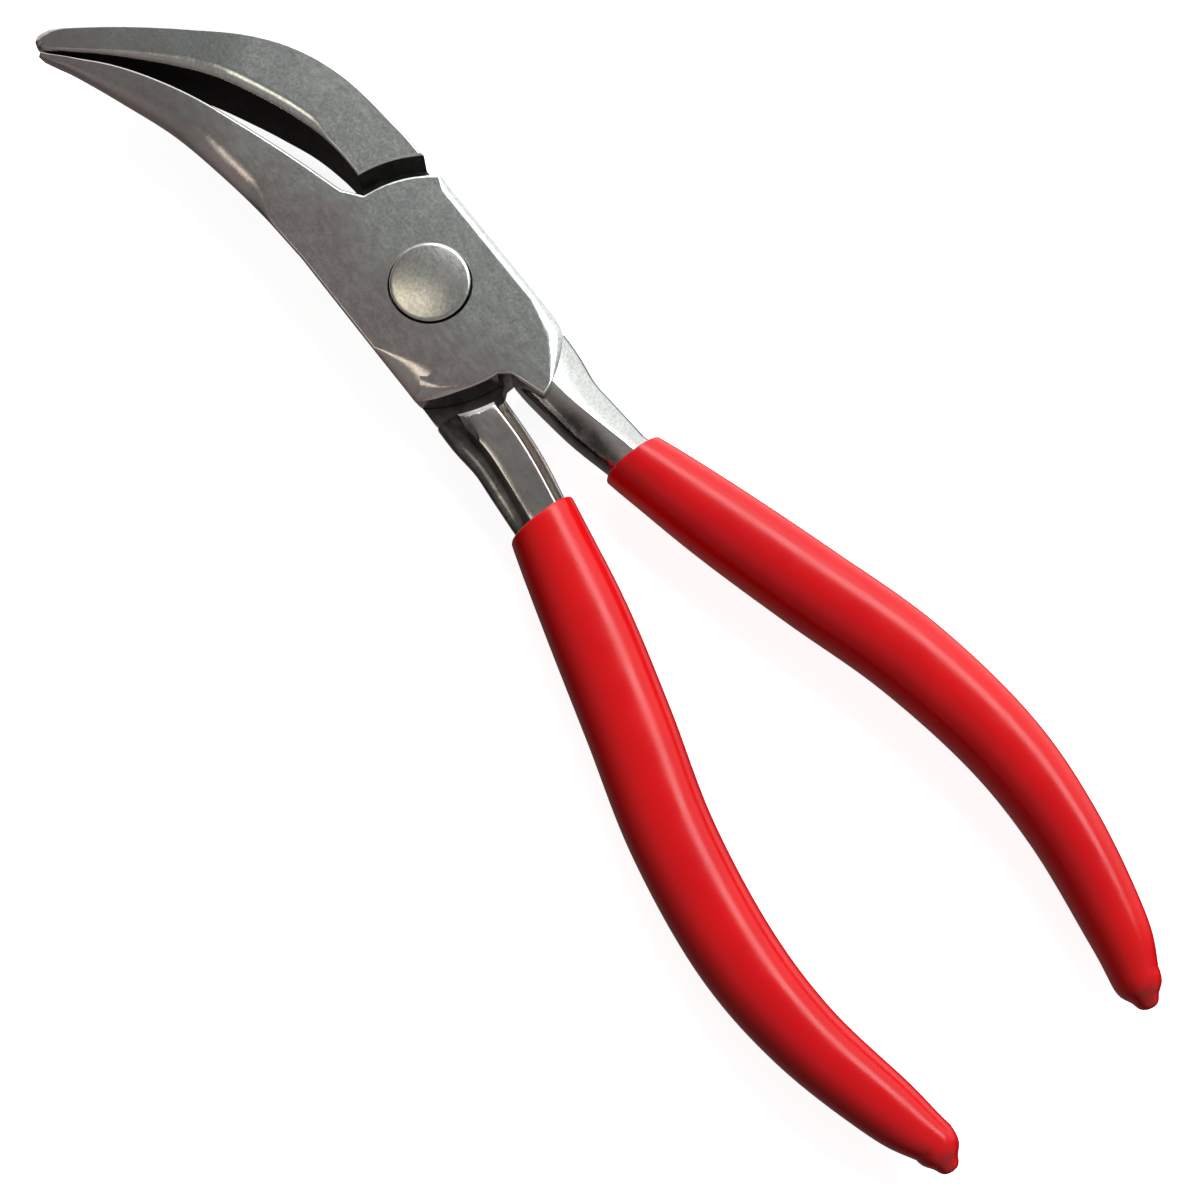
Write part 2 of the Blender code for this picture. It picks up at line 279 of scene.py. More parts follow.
def lower_jaw():
    """The lower jaw's outer side from the tip down, and its gripping side up to the tip."""
    outer = smooth([(-23.0, 63.9), (-20.8, 59.5), (-17.6, 51.4), (-14.55, 42.9),
                    (-12.7, 33.9), (-11.5, 24.5), (-PLATE_HALF_WIDTH, 14.0)])
    rolled = [(21.0, 0.4), (26.5, 3.5), (42.0, 3.8), (47.0, 4.3), (54.0, 3.6), (60.0, 2.0),
              (64.0, 0.8)]
    behind = 0.75  # the back's rim is narrower by this factor
    outer = [(x, y, along(y, rolled), behind * along(y, rolled)) for x, y in outer]
    inner = smooth([(-1.5, 18.8), (-4.0, 27.3), (-7.2, 36.8), (-10.9, 46.6),
                    (-15.6, 55.4), (-21.8, 63.2)])
    inner = [(x, y, 0.45, 0.35) for x, y in inner]
    return outer, inner + [(-22.6, 64.4, 0.3, 0.3)]


def upper_jaw():
    """The upper jaw's gripping side from the tip down, and its outer side up to the tip."""
    inner = smooth([(-21.8, 63.9), (-14.2, 56.0), (-7.0, 46.8), (-2.8, 38.8),
                    (0.2, 31.0), (1.4, 24.5), (1.6, 18.8)])
    rolled = [(18.8, 0.4), (26.0, 0.5), (29.5, 1.7), (47.0, 1.9), (57.0, 0.9), (63.5, 0.6)]
    inner = [(x, y, 0.5, along(y, rolled)) for x, y in inner]
    outer = smooth([(PLATE_HALF_WIDTH, 14.0), (10.5, 22.0), (9.1, 33.0),
                    (5.0, 42.5), (-3.5, 52.1), (-11.1, 59.6), (-18.3, 65.7), (-20.2, 66.8),
                    (-21.6, 66.9), (-22.4, 66.1), (-22.4, 64.8)])
    rolled = [(-22.4, 1.1), (-20.0, 1.1), (-18.0, 0.4), (9.0, 0.5)]
    return inner, [(x, y, along(x, rolled), along(x, rolled)) for x, y in outer]


def plate_foot():
    """The +X plate from its rounded end's left end, round the handle's root, to its side."""
    rolled = [(-PLATE_HALF_WIDTH, 6.0), (-10.0, 3.5), (-8.0, 1.6), (-5.5, 0.5)]
    rounded = arc(CORNER - 180, ROUND_END - 180, own=0.0, lap=0.3)
    rounded = [(x, y, along(x, rolled), lap) for x, y, _, lap in rounded]
    root = smooth([(0.9, -17.4), (2.6, -22.6)], 4)
    toe = smooth([(2.6, -22.6), (5.4, -21.4), (9.9, -17.2), (PLATE_HALF_WIDTH, -14.5)], 5)[1:]
    rolled = [(2.6, 0.3), (5.0, 0.7), (9.9, 2.4)]
    return (
        rounded
        + [(x, y, 0.4, 0.4) for x, y in root]
        + [(x, y, along(x, rolled), 0.6) for x, y in toe]
    )


def side_of_plate(sign, rolled):
    """A plate's straight side: up on the +X side, down on the other, with rims by y."""
    start, end = SIDE_ENDS if sign > 0 else reversed(SIDE_ENDS)
    ys = [start + (end - start) * i / SIDE_STEPS for i in range(SIDE_STEPS + 1)]
    return [(sign * PLATE_HALF_WIDTH, y, along(y, rolled), 0.3) for y in ys]


def mirrored(points):
    """The same outline points on the other side of the tool's axis, in the other order."""
    return [(-x, *rest) for x, *rest in reversed(points)]


# Rim widths by y on a plate's side above the other handle and on the one above its own
FREE_SIDE = [(-12.0, 6.2), (-8.5, 4.3), (-5.0, 1.9), (-3.0, 0.4), (14.0, 0.4)]
HANDLE_SIDE = [(-12.0, 1.4), (12.0, 1.4)]


def front_outline():
    """The front half without its handle: lower jaw and front plate."""
    outer, inner = lower_jaw()
    rounded = arc(CORNER, ROUND_END, own=0.5, lap=0.3)
    return (
        outer + side_of_plate(-1, FREE_SIDE) + plate_foot() + side_of_plate(1, HANDLE_SIDE)
        + rounded + inner
    )


def rear_outline():
    """The rear half without its handle: upper jaw and rear plate."""
    inner, outer = upper_jaw()
    rounded = mirrored(arc(CORNER, ROUND_END, own=0.5, lap=0.3))
    return (
        inner + rounded + side_of_plate(-1, HANDLE_SIDE) + mirrored(plate_foot())
        + side_of_plate(1, FREE_SIDE) + outer
    )


def width_inside(outline, i, inward):
    """How far the outline's other side lies from one of its points."""
    x, y = outline[i][:2]
    nearest = math.inf
    parallel = 1e-9
    count = len(outline)
    for j in range(count):
        k = (j + 1) % count
        if i in (j, k):
            continue
        ax, ay = outline[j][0] - x, outline[j][1] - y
        bx, by = outline[k][0] - outline[j][0], outline[k][1] - outline[j][1]
        cross = inward.x * by - inward.y * bx
        if abs(cross) < parallel:
            continue
        far = (ax * by - ay * bx) / cross
        share = (ax * inward.y - ay * inward.x) / cross
        if far > 0 and 0 <= share <= 1:
            nearest = min(nearest, far)
    return nearest


def turn_of(a, b, c):
    """Positive where the way from a through b to c turns left."""
    return (b[0] - a[0]) * (c[1] - a[1]) - (b[1] - a[1]) * (c[0] - a[0])


def crossings(ring):
    """The places along a closed ring of points where it crosses itself."""
    count = len(ring)
    found = set()
    for i in range(count):
        a, b = ring[i], ring[(i + 1) % count]
        for j in range(i + 2, count):
            if (j + 1) % count == i:
                continue
            c, d = ring[j], ring[(j + 1) % count]
            if turn_of(a, b, c) * turn_of(a, b, d) < 0 and turn_of(c, d, a) * turn_of(c, d, b) < 0:
                found.update((i, i + 1, j, j + 1))
    return {i % count for i in found}


def fitted_rims(outline):
    """The outline as (x, y, inward, own rim, lap rim), with rims that don't cross."""
    count = len(outline)
    inwards = []
    for i in range(count):
        ahead = outline[(i + 1) % count]
        run = Vector((ahead[0] - outline[i - 1][0], ahead[1] - outline[i - 1][1]))
        inwards.append(Vector((-run.y, run.x)).normalized())
    most = [ROOM * width_inside(outline, i, inwards[i]) for i in range(count)]
    fitted = []
    for face in (2, 3):
        widths = [min(point[face], most[i]) for i, point in enumerate(outline)]
        for i in [*range(count), *range(count), *range(2 * count, -1, -1)]:
            i %= count
            for j in ((i - 1) % count, (i + 1) % count):
                apart = math.dist(outline[i][:2], outline[j][:2])
                widths[i] = min(widths[i], widths[j] + RIM_SLOPE * apart)
        while crossed := crossings([
            (x + inward.x * width, y + inward.y * width)
            for (x, y, *_), inward, width in zip(outline, inwards, widths)
        ]):
            for i in crossed:
                for j in (i - 1, i, (i + 1) % count):
                    widths[j] *= RIM_CUT
        fitted.append(widths)
    return [
        (x, y, inwards[i], fitted[0][i], fitted[1][i])
        for i, (x, y, *_) in enumerate(outline)
    ]


def add_faces(bm, low_ring, high_ring):
    """A band of faces between two rings that run counter-clockwise seen from the high side."""
    for i, corner in enumerate(low_ring):
        j = (i + 1) % len(low_ring)
        bm.faces.new((corner, low_ring[j], high_ring[j], high_ring[i]))


def rim_curve(width, squeeze, kind):
    """How far in and how far down each ring of a rolled rim lies, from the wall to the flat.

    A narrow rim is round; a wide one rolls off slowly from the flat and turns to the wall
    fast. The jaw's taper squeezes the slab's depth afterwards, so the rim is made deeper.
    """
    deepen, square = kind
    drop = min(width, ROUND_RIM + deepen * (width - ROUND_RIM)) / squeeze
    drop = min(drop, DEEPEST_RIM * (HIGH - LOW))
    power = 1 + square * min(1.0, max(0.0, (width - ROUND_RIM) / (SQUARE_RIM - ROUND_RIM)))
    curve = []
    for k in range(RIM_STEPS + 1):
        turn = math.pi / 2 * k / RIM_STEPS
        curve.append((width * (1 - math.cos(turn)), drop * (1 - math.sin(turn) ** power)))
    return curve


def rim_levels(own, lap, squeeze, side):
    """How far in and at what height each ring of a slab with rolled rims lies."""
    front, back = (own, lap) if side > 0 else (lap, own)
    high = rim_curve(front, squeeze, FRONT_RIM)
    low = rim_curve(back, squeeze, BACK_RIM)
    levels = [(inset, LOW + fall) for inset, fall in reversed(low)]
    return levels + [(inset, HIGH - fall) for inset, fall in high]


def draft(x, y, inward, side):
    """How far a wall leans out at the front and at the back, as two vectors."""
    upright = Vector((0.0, 0.0))
    on_upper_jaw = side < 0 and y > PLATE_RADIUS
    if on_upper_jaw and inward.dot(TO_UPPER_JAW.xy) > FACING:
        return upright, -inward * along(y, GRIPPING_DRAFT)
    if on_upper_jaw or inward.x < LEFT_FACING:
        return upright, upright
    share = depth_share(x, y) * along(-x, DRAFTED_ACROSS) * along(y, DRAFTED)
    return Vector((-share * LEFT_DRAFT[0], 0.0)), Vector((-share * LEFT_DRAFT[1], 0.0))


def depth_share(x, y):
    """How much of the joint's thickness a jaw still has at a place."""
    past = Vector((x, y, 0.0)).dot(TIP_DIRECTION) - TAPER_START + SOFT_START
    if past < 0:
        return 1.0
    eased = past - SOFT_START if past > 2 * SOFT_START else past ** 2 / (4 * SOFT_START)
    length = TIP_REACH - TAPER_START
    loss = (1 - TIP_DEPTH / (HIGH - LOW)) / length
    return 1 - loss * min(eased, TAPER_OVERRUN * length)


def paint_shade_on_gripping_wall(bm, side):
    """Gives the jaw's wall towards the other jaw a finish painted black as shade."""
    to_other_jaw = TO_UPPER_JAW * side
    bm.normal_update()
    for face in bm.faces:
        is_jaw = PLATE_RADIUS < face.calc_center_median().y < GRIPPING_END
        is_wall = abs(face.normal.z) < FACING
        if is_jaw and is_wall and face.normal.dot(to_other_jaw) > FACING:
            face.material_index = PAINTED_SHADE_WALL


def forging_blank(outline, side):
    """A slab of the joint's thickness with rolled rims and the jaw's depth taper."""
    bm = bmesh.new()
    rings = [[] for _ in range(2 * RIM_STEPS + 2)]
    for x, y, inward, own, lap in fitted_rims(outline):
        levels = rim_levels(own, lap, depth_share(x, y), side)
        in_front, behind = draft(x, y, inward, side)
        for ring, (inset, z) in zip(rings, levels):
            lean = behind.lerp(in_front, (z - LOW) / (HIGH - LOW))
            place = Vector((x, y)) + inward * inset + lean
            ring.append(bm.verts.new((place.x, place.y, z)))
    for low_ring, high_ring in zip(rings, rings[1:]):
        add_faces(bm, low_ring, high_ring)
    bm.faces.new(list(reversed(rings[0])))
    bm.faces.new(rings[-1])
    paint_shade_on_gripping_wall(bm, side)
    first = TAPER_START - SOFT_START
    for i in range(TAPER_CUTS):
        reach = first + (TIP_REACH - first) * i / TAPER_CUTS
        bmesh.ops.bisect_plane(
            bm,
            geom=bm.verts[:] + bm.edges[:] + bm.faces[:],
            plane_co=TIP_DIRECTION * reach,
            plane_no=TIP_DIRECTION,
        )
    for vert in bm.verts:
        vert.co.z = MID + (vert.co.z - MID) * depth_share(vert.co.x, vert.co.y)
    return bm


def rounded_box(angle, squareness=SQUARENESS):
    """A point of the rounded box section in a direction, for half sizes of 1."""
    c, s = math.cos(angle), math.sin(angle)
    reach = (abs(c) ** squareness + abs(s) ** squareness) ** (-1 / squareness)
    return c * reach, s * reach


def box_section(squareness, sides=SLEEVE_SIDES):
    """The rounded box section, all round."""
    return [rounded_box(math.tau * (k + 0.5) / sides, squareness) for k in range(sides)]


def forged_section(lower, fill):
    """The bare handle's section, a share of the way from its root to the grip's mouth.

    Its hollows are filled out to the rounded box by another share. It comes as points
    (towards the outside of the tool, towards the plate's own face).
    """
    own = [
        (a[0] + lower * (b[0] - a[0]), a[1] + lower * (b[1] - a[1]))
        for a, b in zip(OWN_ROOT, OWN_MOUTH)
    ]
    turn = smooth(own + LAP_FACE[1:] + own[:1], SECTION_STEPS)[:-1]
    section = []
    for across, up in turn:
        full = rounded_box(math.atan2(up, across))
        section.append((across + fill * (full[0] - across), up + fill * (full[1] - up)))
    return section


def section_ring(bm, stations, i, section, side, flip=1, less=0.0, level=0.0):
    """One ring of a section across a handle's path.

    It is made smaller by less on each side, and sheared level by a share.
    """
    x, y, width, thickness = stations[i][:4]
    last = stations[max(i - 1, 0)]
    following = stations[min(i + 1, len(stations) - 1)]
    run = Vector((side * (following[0] - last[0]), following[1] - last[1], 0.0)).normalized()
    outward = Vector((-run.y, run.x, 0.0)) * side
    outward = outward.lerp(Vector((-side / run.y, 0.0, 0.0)), level)
    centre = Vector((side * x, y, MID))
    ring = []
    for across, up in section:
        wide = outward * across * (width / 2 - less)
        high = Vector((0.0, 0.0, flip * up * (thickness / 2 - less)))
        ring.append(bm.verts.new(centre + wide + high))
    return ring


def skin(bm, rings):
    """Faces along a row of rings, with a cap at both ends, all of them facing out."""
    for ring, following in zip(rings, rings[1:]):
        add_faces(bm, following, ring)
    bm.faces.new(rings[0])
    bm.faces.new(list(reversed(rings[-1])))
    bmesh.ops.recalc_face_normals(bm, faces=bm.faces)


def tang_blank(side, tang, grip):
    """The handle's steel, from its root in the plate to inside the grip's end."""
    steel = [
        (x, y, width - 2 * (wall + GAP), thickness - 2 * (wall + GAP))
        for x, y, width, thickness, wall in smooth(grip, HANDLE_STEPS - 1)
    ]
    stations = smooth(tang + steel[:1], HANDLE_STEPS)[:-1] + steel[:-1]
    bm = bmesh.new()
    rings = []
    for i, station in enumerate(stations):
        down = -station[1]
        section = forged_section(along(down, MOUTH_SHARE), along(down, FILLED))
        rings.append(section_ring(bm, stations, i, section, side, flip=side))
    skin(bm, rings)
    return bm


def from_mouth(stations, mouth):
    """The stations from a grip's mouth on, the first of them made at the mouth itself."""
    first = next(i for i, station in enumerate(stations) if station[1] < mouth)
    above, below = stations[first - 1], stations[first]
    share = (above[1] - mouth) / (above[1] - below[1])
    made = tuple(a + share * (b - a) for a, b in zip(above, below))
    return [made, *stations[first:]]


def grip_end(grip, nib):
    """The stations that close a grip: a blunt round end that runs out into the drip nib."""
    x, y, width, thickness, wall = grip[-1]
    return [
        (x + (nib[0] - x) * share, y + (nib[1] - y) * share, width * size, thickness * size, wall)
        for share, size in GRIP_END
    ]


def grip_sleeve(side, grip, mouth, nib):
    """A dipped sleeve: open at its level mouth with a soft lip, closed with a drip nib."""
    covered = from_mouth(smooth(grip, SLEEVE_STEPS), mouth)
    least_step = 0.1
    section = box_section(SLEEVE_SQUARENESS)
    bore = box_section(SQUARENESS)
    bm = bmesh.new()
    outline = covered + grip_end(grip, nib)
    start = outline[0]
    run = Vector((outline[1][0] - start[0], outline[1][1] - start[1])).normalized()
    stations = [
        (start[0] + run.x * far, start[1] + run.y * far, start[2] - 2 * less, start[3] - 2 * less)
        for far, less in LIP
    ]
    stations += [s[:4] for s in outline[1:] if s[1] < stations[-1][1] - least_step]
    outside = []
    for i, station in enumerate(stations):
        level = along(mouth - station[1], LEVELLING)
        outside.append(section_ring(bm, stations, i, section, side, level=level))
    inside = []
    for i, station in enumerate(covered):
        level = along(mouth - station[1], LEVELLING)
        inside.append(section_ring(bm, covered, i, bore, side, less=station[4], level=level))
    for ring, following in zip(outside, outside[1:]):
        add_faces(bm, following, ring)
    for ring, following in zip(inside, inside[1:]):
        add_faces(bm, ring, following)
    add_faces(bm, outside[0], inside[0])
    bm.faces.new(list(reversed(outside[-1])))
    bm.faces.new(inside[-1])
    bmesh.ops.recalc_face_normals(bm, faces=bm.faces)
    return bm


def turned(profile, sides=TURNED_SIDES):
    """A solid turned about Z, from radius and height points that start and end on the axis."""
    bm = bmesh.new()
    rings = []
    for radius, height in profile:
        if radius == 0.0:
            rings.append([bm.verts.new((0.0, 0.0, height))])
            continue
        angles = [math.tau * k / sides for k in range(sides)]
        rings.append(
            [bm.verts.new((radius * math.cos(a), radius * math.sin(a), height)) for a in angles]
        )
    for ring, following in zip(rings, rings[1:]):
        for k in range(sides):
            n = (k + 1) % sides
            if len(ring) == 1:
                bm.faces.new((ring[0], following[n], following[k]))
            elif len(following) == 1:
                bm.faces.new((ring[k], ring[n], following[0]))
            else:
                bm.faces.new((ring[k], ring[n], following[n], following[k]))
    bmesh.ops.recalc_face_normals(bm, faces=bm.faces)
    return bm


def pocket(radius, floor_z, mouth_z, edge=BREAK):
    """A cutter for a round pocket from floor_z out past mouth_z, with a broken mouth edge."""
    out = math.copysign(1.0, mouth_z - floor_z)
    bm = turned([
        (0.0, floor_z),
        (radius, floor_z),
        (radius, mouth_z - out * edge),
        (radius + edge, mouth_z),
        (radius + edge + OVERRUN, mouth_z + out * OVERRUN),
        (0.0, mouth_z + out * OVERRUN),
    ])
    bm.normal_update()
    upright, flat = 0.3, 0.9  # heights of a face's normal
    for face in bm.faces:
        is_broken_edge = upright < abs(face.normal.z) < flat
        # The cutter's walls and floor give the cut faces painted shade; its broken edge stays
        # polished steel.
        face.material_index = POLISHED if is_broken_edge else SHADED_CUT
    return bm


def rivet():
    """The turned rivet: a flat tail, a shank and a low hammered head with a rolled rim."""
    seat = HIGH - HEAD_RECESS_DEPTH + GAP
    inner = HEAD_RADIUS - HEAD_RIM
    edge = HIGH + HEAD_EDGE
    wall_end = edge - HEAD_RIM
    profile = [(0.0, 0.0)]
    profile += [(TAIL_RADIUS - inset, height) for inset, height in TAIL_EDGE]
    profile += [(TAIL_RADIUS, TAIL_THICKNESS), (SHANK_RADIUS, TAIL_THICKNESS),
                (SHANK_RADIUS, seat), (HEAD_RADIUS, seat)]
    for k in range(HEAD_RIM_STEPS + 1):
        turn = math.radians(HEAD_RIM_TURN) * k / HEAD_RIM_STEPS
        profile.append((inner + HEAD_RIM * math.cos(turn), wall_end + HEAD_RIM * math.sin(turn)))
    for k in range(1, CROWN_STEPS + 1):
        profile.append((inner * (1 - k / CROWN_STEPS), edge))
    bm = turned(profile)
    furthest = inner + CROWN_PLACE.length
    rounding = 1e-6
    for vert in bm.verts:
        if vert.co.z > wall_end - rounding:
            away = (Vector(vert.co.xy) - CROWN_PLACE).length
            vert.co.z += CROWN_FALL * (furthest ** 2 - away ** 2)
    return bm


def made_object(name, bm):
    """Millimetre geometry as an object in the scene."""
    mesh = bpy.data.meshes.new(name)
    bm.to_mesh(mesh)
    bm.free()
    made = bpy.data.objects.new(name, mesh)
    bpy.context.scene.collection.objects.link(made)
    return made


def add_slots(piece):
    """Empty material slots for the forging's own finish and for the painted shade of the cuts and
    of the gripping face.
    """
    for _ in range(3):
        piece.data.materials.append(None)


def combine(target, operation, bm):
    """Joins or cuts a target with a helper solid, which is then gone."""
    helper = made_object("helper", bm)
    add_slots(helper)
    step = target.modifiers.new("step", "BOOLEAN")
    step.operation = operation
    step.solver = "EXACT"
    step.object = helper
    graph = bpy.context.evaluated_depsgraph_get()
    done = bpy.data.meshes.new_from_object(target.evaluated_get(graph))
    target.modifiers.remove(step)
    target.data = done
    bpy.data.objects.remove(helper)


def close_slivers(bm):
    """Fills the hairline gaps that the cuts leave, and dissolves faces that have no area."""
    bmesh.ops.holes_fill(bm, edges=[edge for edge in bm.edges if edge.is_boundary], sides=0)
    bmesh.ops.dissolve_degenerate(bm, dist=SLIVER, edges=bm.edges)


def settle(piece, finishes, body, node):
    """Sizes a piece in metres, shades it, gives it its finishes and ties it to the frame."""
    mesh = piece.data
    bm = bmesh.new()
    bm.from_mesh(mesh)
    close_slivers(bm)
    bmesh.ops.scale(bm, vec=(MM, MM, MM), verts=bm.verts)
    for face in bm.faces:
        face.smooth = True
    for edge in bm.edges:
        if edge.is_manifold and edge.calc_face_angle() > SHARP_ANGLE:
            edge.smooth = False
    bm.to_mesh(mesh)
    bm.free()
    for i, finish in enumerate(finishes):
        if i < len(mesh.materials):
            mesh.materials[i] = finish
        else:
            mesh.materials.append(finish)
    even = piece.modifiers.new("even_shading", "WEIGHTED_NORMAL")
    even.keep_sharp = True
    even.mode = "FACE_AREA"
    even.weight = 50
    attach(piece, body)
    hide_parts(node)


def foot_trim(side):
    """A cutter that takes the plate's foot off the lap's face, outside the shoulder."""
    lap_face = LOW - OVERRUN if side > 0 else HIGH + OVERRUN
    first, last = (math.radians(end) for end in FOOT_TRIM_ENDS)
    bm = bmesh.new()
    rings = []
    for i in range(FOOT_TRIM_STEPS + 1):
        angle = first + (last - first) * i / FOOT_TRIM_STEPS
        way = Vector((math.cos(angle), math.sin(angle), 0.0))
        near, far = way * FOOT_TRIM_RADIUS, way * 3 * SHOULDER_RADIUS
        rings.append([
            bm.verts.new((near.x, near.y, MID)), bm.verts.new((far.x, far.y, MID)),
            bm.verts.new((far.x, far.y, lap_face)), bm.verts.new((near.x, near.y, lap_face)),
        ])
    skin(bm, rings)
    return bm


def scoop(side, tang):
    """A cutter for the shallow hollow where the handle's boss begins, on the lap's side."""
    bm = bmesh.new()
    bmesh.ops.create_uvsphere(bm, u_segments=48, v_segments=32, radius=1.0)
    across, down, deep = SCOOP_SIZE
    bmesh.ops.scale(bm, vec=(across, down, deep), verts=bm.verts)
    bmesh.ops.rotate(bm, matrix=Matrix.Rotation(-side * SCOOP_TURN, 3, "Z"), verts=bm.verts)
    lap_face = MID - side * tang[1][3] / 2
    place = (side * SCOOP_PLACE[0], SCOOP_PLACE[1], lap_face - side * (deep - SCOOP_DEPTH))
    bmesh.ops.translate(bm, vec=place, verts=bm.verts)
    return bm


def handle_solid(side, tang, grip):
    """The handle's steel with the broken edge of the step towards the shoulder."""
    handle = made_object("handle", tang_blank(side, tang, grip))
    add_slots(handle)
    lap_face = tang[0][3] / 2
    fall = math.tan(STEP_BEVEL_ANGLE)
    near, far = SHOULDER_RADIUS - OVERRUN, SHOULDER_RADIUS + 3 * OVERRUN
    bevel_end = SHOULDER_RADIUS + STEP_BEVEL
    low = lap_face - fall * (bevel_end - near)
    high = lap_face + fall * (far - bevel_end)
    top = high + 2 * OVERRUN
    cone = turned([(0.0, low), (near, low), (far, high), (far, top), (0.0, top)])
    for vert in cone.verts:
        vert.co.z = MID - side * vert.co.z
    bmesh.ops.recalc_face_normals(cone, faces=cone.faces)
    combine(handle, "DIFFERENCE", cone)
    bm = bmesh.new()
    bm.from_mesh(handle.data)
    bpy.data.objects.remove(handle)
    return bm


def half(name, outline, side, shoulder, recess, handle):
    """One forged half: blank, handle, lapped joint, the rivet's recess and its hole.

    The hole comes last, because a recess cut over a hole leaves a stray face across it.
    """
    piece = made_object(name, forging_blank(outline, side))
    add_slots(piece)
    combine(piece, "DIFFERENCE", foot_trim(side))
    combine(piece, "UNION", handle_solid(side, *handle))
    combine(piece, "DIFFERENCE", scoop(side, handle[0]))
    combine(piece, "DIFFERENCE", pocket(*shoulder))
    combine(piece, "DIFFERENCE", pocket(*recess))
    combine(piece, "DIFFERENCE", pocket(SHANK_RADIUS + GAP, LOW - OVERRUN, HIGH + OVERRUN))
    return piece


# Finishes

class Finish:
    """A material's node tree, with short calls for the nodes that the finishes share."""

    def __init__(self, name):
        self.material = bpy.data.materials.new(name)
        self.material.use_nodes = True
        self.nodes = self.material.node_tree.nodes
        self.links = self.material.node_tree.links
        self.shader = self.nodes["Principled BSDF"]
        self.place = self.nodes.new("ShaderNodeTexCoord").outputs["Object"]

    def noise(self, size, detail=3.0, roughness=0.55, stretch=(1.0, 1.0, 1.0)):
        """Noise with features of about a size in metres, stretched along the axes."""
        mapping = self.nodes.new("ShaderNodeMapping")
        mapping.inputs["Scale"].default_value = [1 / s for s in stretch]
        self.links.new(self.place, mapping.inputs["Vector"])
        made = self.nodes.new("ShaderNodeTexNoise")
        made.inputs["Scale"].default_value = 1 / size
        made.inputs["Detail"].default_value = detail
        made.inputs["Roughness"].default_value = roughness
        self.links.new(mapping.outputs["Vector"], made.inputs["Vector"])
        return made.outputs["Fac"]

    def spread(self, value, low, high, to_low=0.0, to_high=1.0):
        """Maps a value's range smoothly to another range."""
        made = self.nodes.new("ShaderNodeMapRange")
        made.interpolation_type = "SMOOTHSTEP"
        for socket, number in (("From Min", low), ("From Max", high),
                               ("To Min", to_low), ("To Max", to_high)):
            made.inputs[socket].default_value = number
        self.links.new(value, made.inputs["Value"])
        return made.outputs["Result"]

    def far_from(self, place, sizes, turn):
        """The distance from a place, measured in sizes along axes turned about Z."""
        local = self.nodes.new("ShaderNodeMapping")
        local.vector_type = "TEXTURE"
        local.inputs["Location"].default_value = place
        local.inputs["Rotation"].default_value = (0.0, 0.0, turn)
        local.inputs["Scale"].default_value = sizes
        self.links.new(self.place, local.inputs["Vector"])
        length = self.nodes.new("ShaderNodeVectorMath")
        length.operation = "LENGTH"
        self.links.new(local.outputs["Vector"], length.inputs[0])
        return length.outputs["Value"]

    def slope(self, direction):
        """A value that grows along a direction, by its length for each metre."""
        made = self.nodes.new("ShaderNodeVectorMath")
        made.operation = "DOT_PRODUCT"
        made.inputs[1].default_value = direction
        self.links.new(self.place, made.inputs[0])
        return made.outputs["Value"]

    def calculate(self, operation, first, second):
        """The result of a Math node on two outputs."""
        made = self.nodes.new("ShaderNodeMath")
        made.operation = operation
        self.links.new(first, made.inputs[0])
        self.links.new(second, made.inputs[1])
        return made.outputs["Value"]

    def mix(self, share, first, second):
        """A colour between two, by a share. Each is a colour or an output."""
        made = self.nodes.new("ShaderNodeMix")
        made.data_type = "RGBA"
        self.links.new(share, made.inputs["Factor"])
        for socket, colour in ((made.inputs[6], first), (made.inputs[7], second)):
            if isinstance(colour, tuple):
                socket.default_value = (*colour, 1.0)
            else:
                self.links.new(colour, socket)
        return made.outputs[2]

    def bump(self, height, depth, strength=1.0, under=None):
        """A bump of a depth in metres, on top of another bump."""
        made = self.nodes.new("ShaderNodeBump")
        made.inputs["Strength"].default_value = strength
        made.inputs["Distance"].default_value = depth
        self.links.new(height, made.inputs["Height"])
        if under:
            self.links.new(under, made.inputs["Normal"])
        return made.outputs["Normal"]

    def to(self, socket, output):
        """Links an output to one of the shader's sockets."""
        self.links.new(output, self.shader.inputs[socket])


BROWN_SHADE_SIDE = (-50.0, -9.0, 0.0)  # painted shade: the brown, darker cast grows this way, towards the tool's left, away from the key, by so much for each metre
GRAIN_SHADE = 0.72  # brightness of the grain's dark specks
# colour of the painted shade patches on the bare handles
PAINTED_SHADE_COLOUR = (0.13, 0.13, 0.125)


